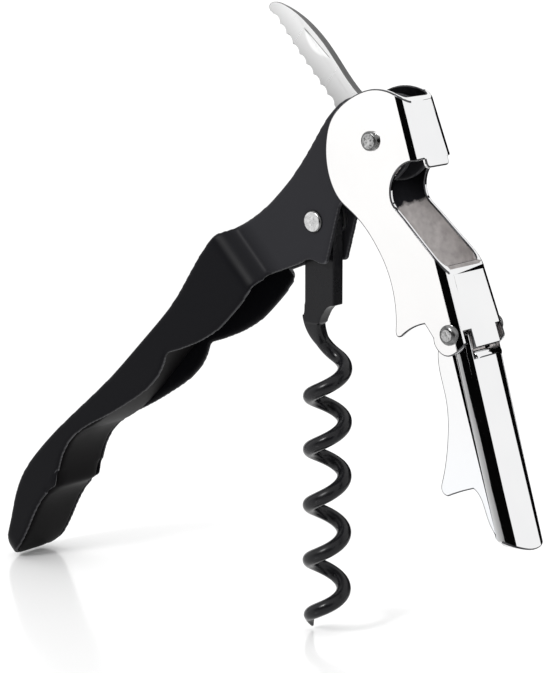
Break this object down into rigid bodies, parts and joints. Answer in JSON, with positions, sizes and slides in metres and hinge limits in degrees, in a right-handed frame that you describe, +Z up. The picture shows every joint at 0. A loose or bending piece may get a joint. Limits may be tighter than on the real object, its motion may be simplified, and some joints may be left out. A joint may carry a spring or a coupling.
{
  "type": "waiters corkscrew",
  "caption": "Folding waiters corkscrew: black steel handle with finger grooves, two-step chrome lever, coil worm and a short serrated knife.",
  "frame": {"origin": "centre of the bounding box's underside at rest: the tool stands half open on the worm's point and the handle's tip", "axes": "+Z up, +X in the tool's plane from the handle's tip towards the lever, Y across the tool's thickness along every pivot"},
  "size_m": [0.1166, 0.0138, 0.1064],
  "materials": {
    "black_steel": "satin black powder coat",
    "black_filling": "satin black",
    "chrome_steel": "mirror chrome plating",
    "rivet_steel": "peened bright steel",
    "blade_steel": "fine brushed steel",
    "worm_steel": "semi-gloss black non-stick coat"
  },
  "bodies": {
    "handle": {"handle_shell": "black_steel", "grip_insert": "black_filling", "head_rivet": "rivet_steel", "worm_rivet": "rivet_steel", "knife_washer_near": "rivet_steel", "knife_washer_far": "rivet_steel", "lever_washer_near": "rivet_steel", "lever_washer_far": "rivet_steel", "worm_washer_near": "rivet_steel", "worm_washer_far": "rivet_steel"},
    "upper_lever": {"upper_lever": "chrome_steel", "knee_rivet": "rivet_steel"},
    "lower_lever": {"lower_lever": "chrome_steel"},
    "worm": {"worm": "worm_steel"},
    "knife": {"knife_blade": "blade_steel"}
  },
  "joints": [
    {"name": "lever_fold", "type": "hinge", "parent": "handle", "child": "upper_lever", "pos_m": [0.02814, 0, 0.08577], "axis": [0, -1, 0], "range_deg": [-63, 35]},
    {"name": "worm_fold", "type": "hinge", "parent": "handle", "child": "worm", "pos_m": [0.01531, 0, 0.07131], "axis": [0, -1, 0], "range_deg": [-46, 26]},
    {"name": "knife_fold", "type": "hinge", "parent": "handle", "child": "knife", "pos_m": [0.02814, 0, 0.08577], "axis": [0, -1, 0], "range_deg": [-42, 67]},
    {"name": "knee", "type": "hinge", "parent": "upper_lever", "child": "lower_lever", "pos_m": [0.04525, 0, 0.05681], "axis": [0, -1, 0], "range_deg": [-3, 5]}
  ],
  "couplings": [
    {"joint": "worm_fold", "follows": "lever_fold", "ratio": 0.714}
  ]
}
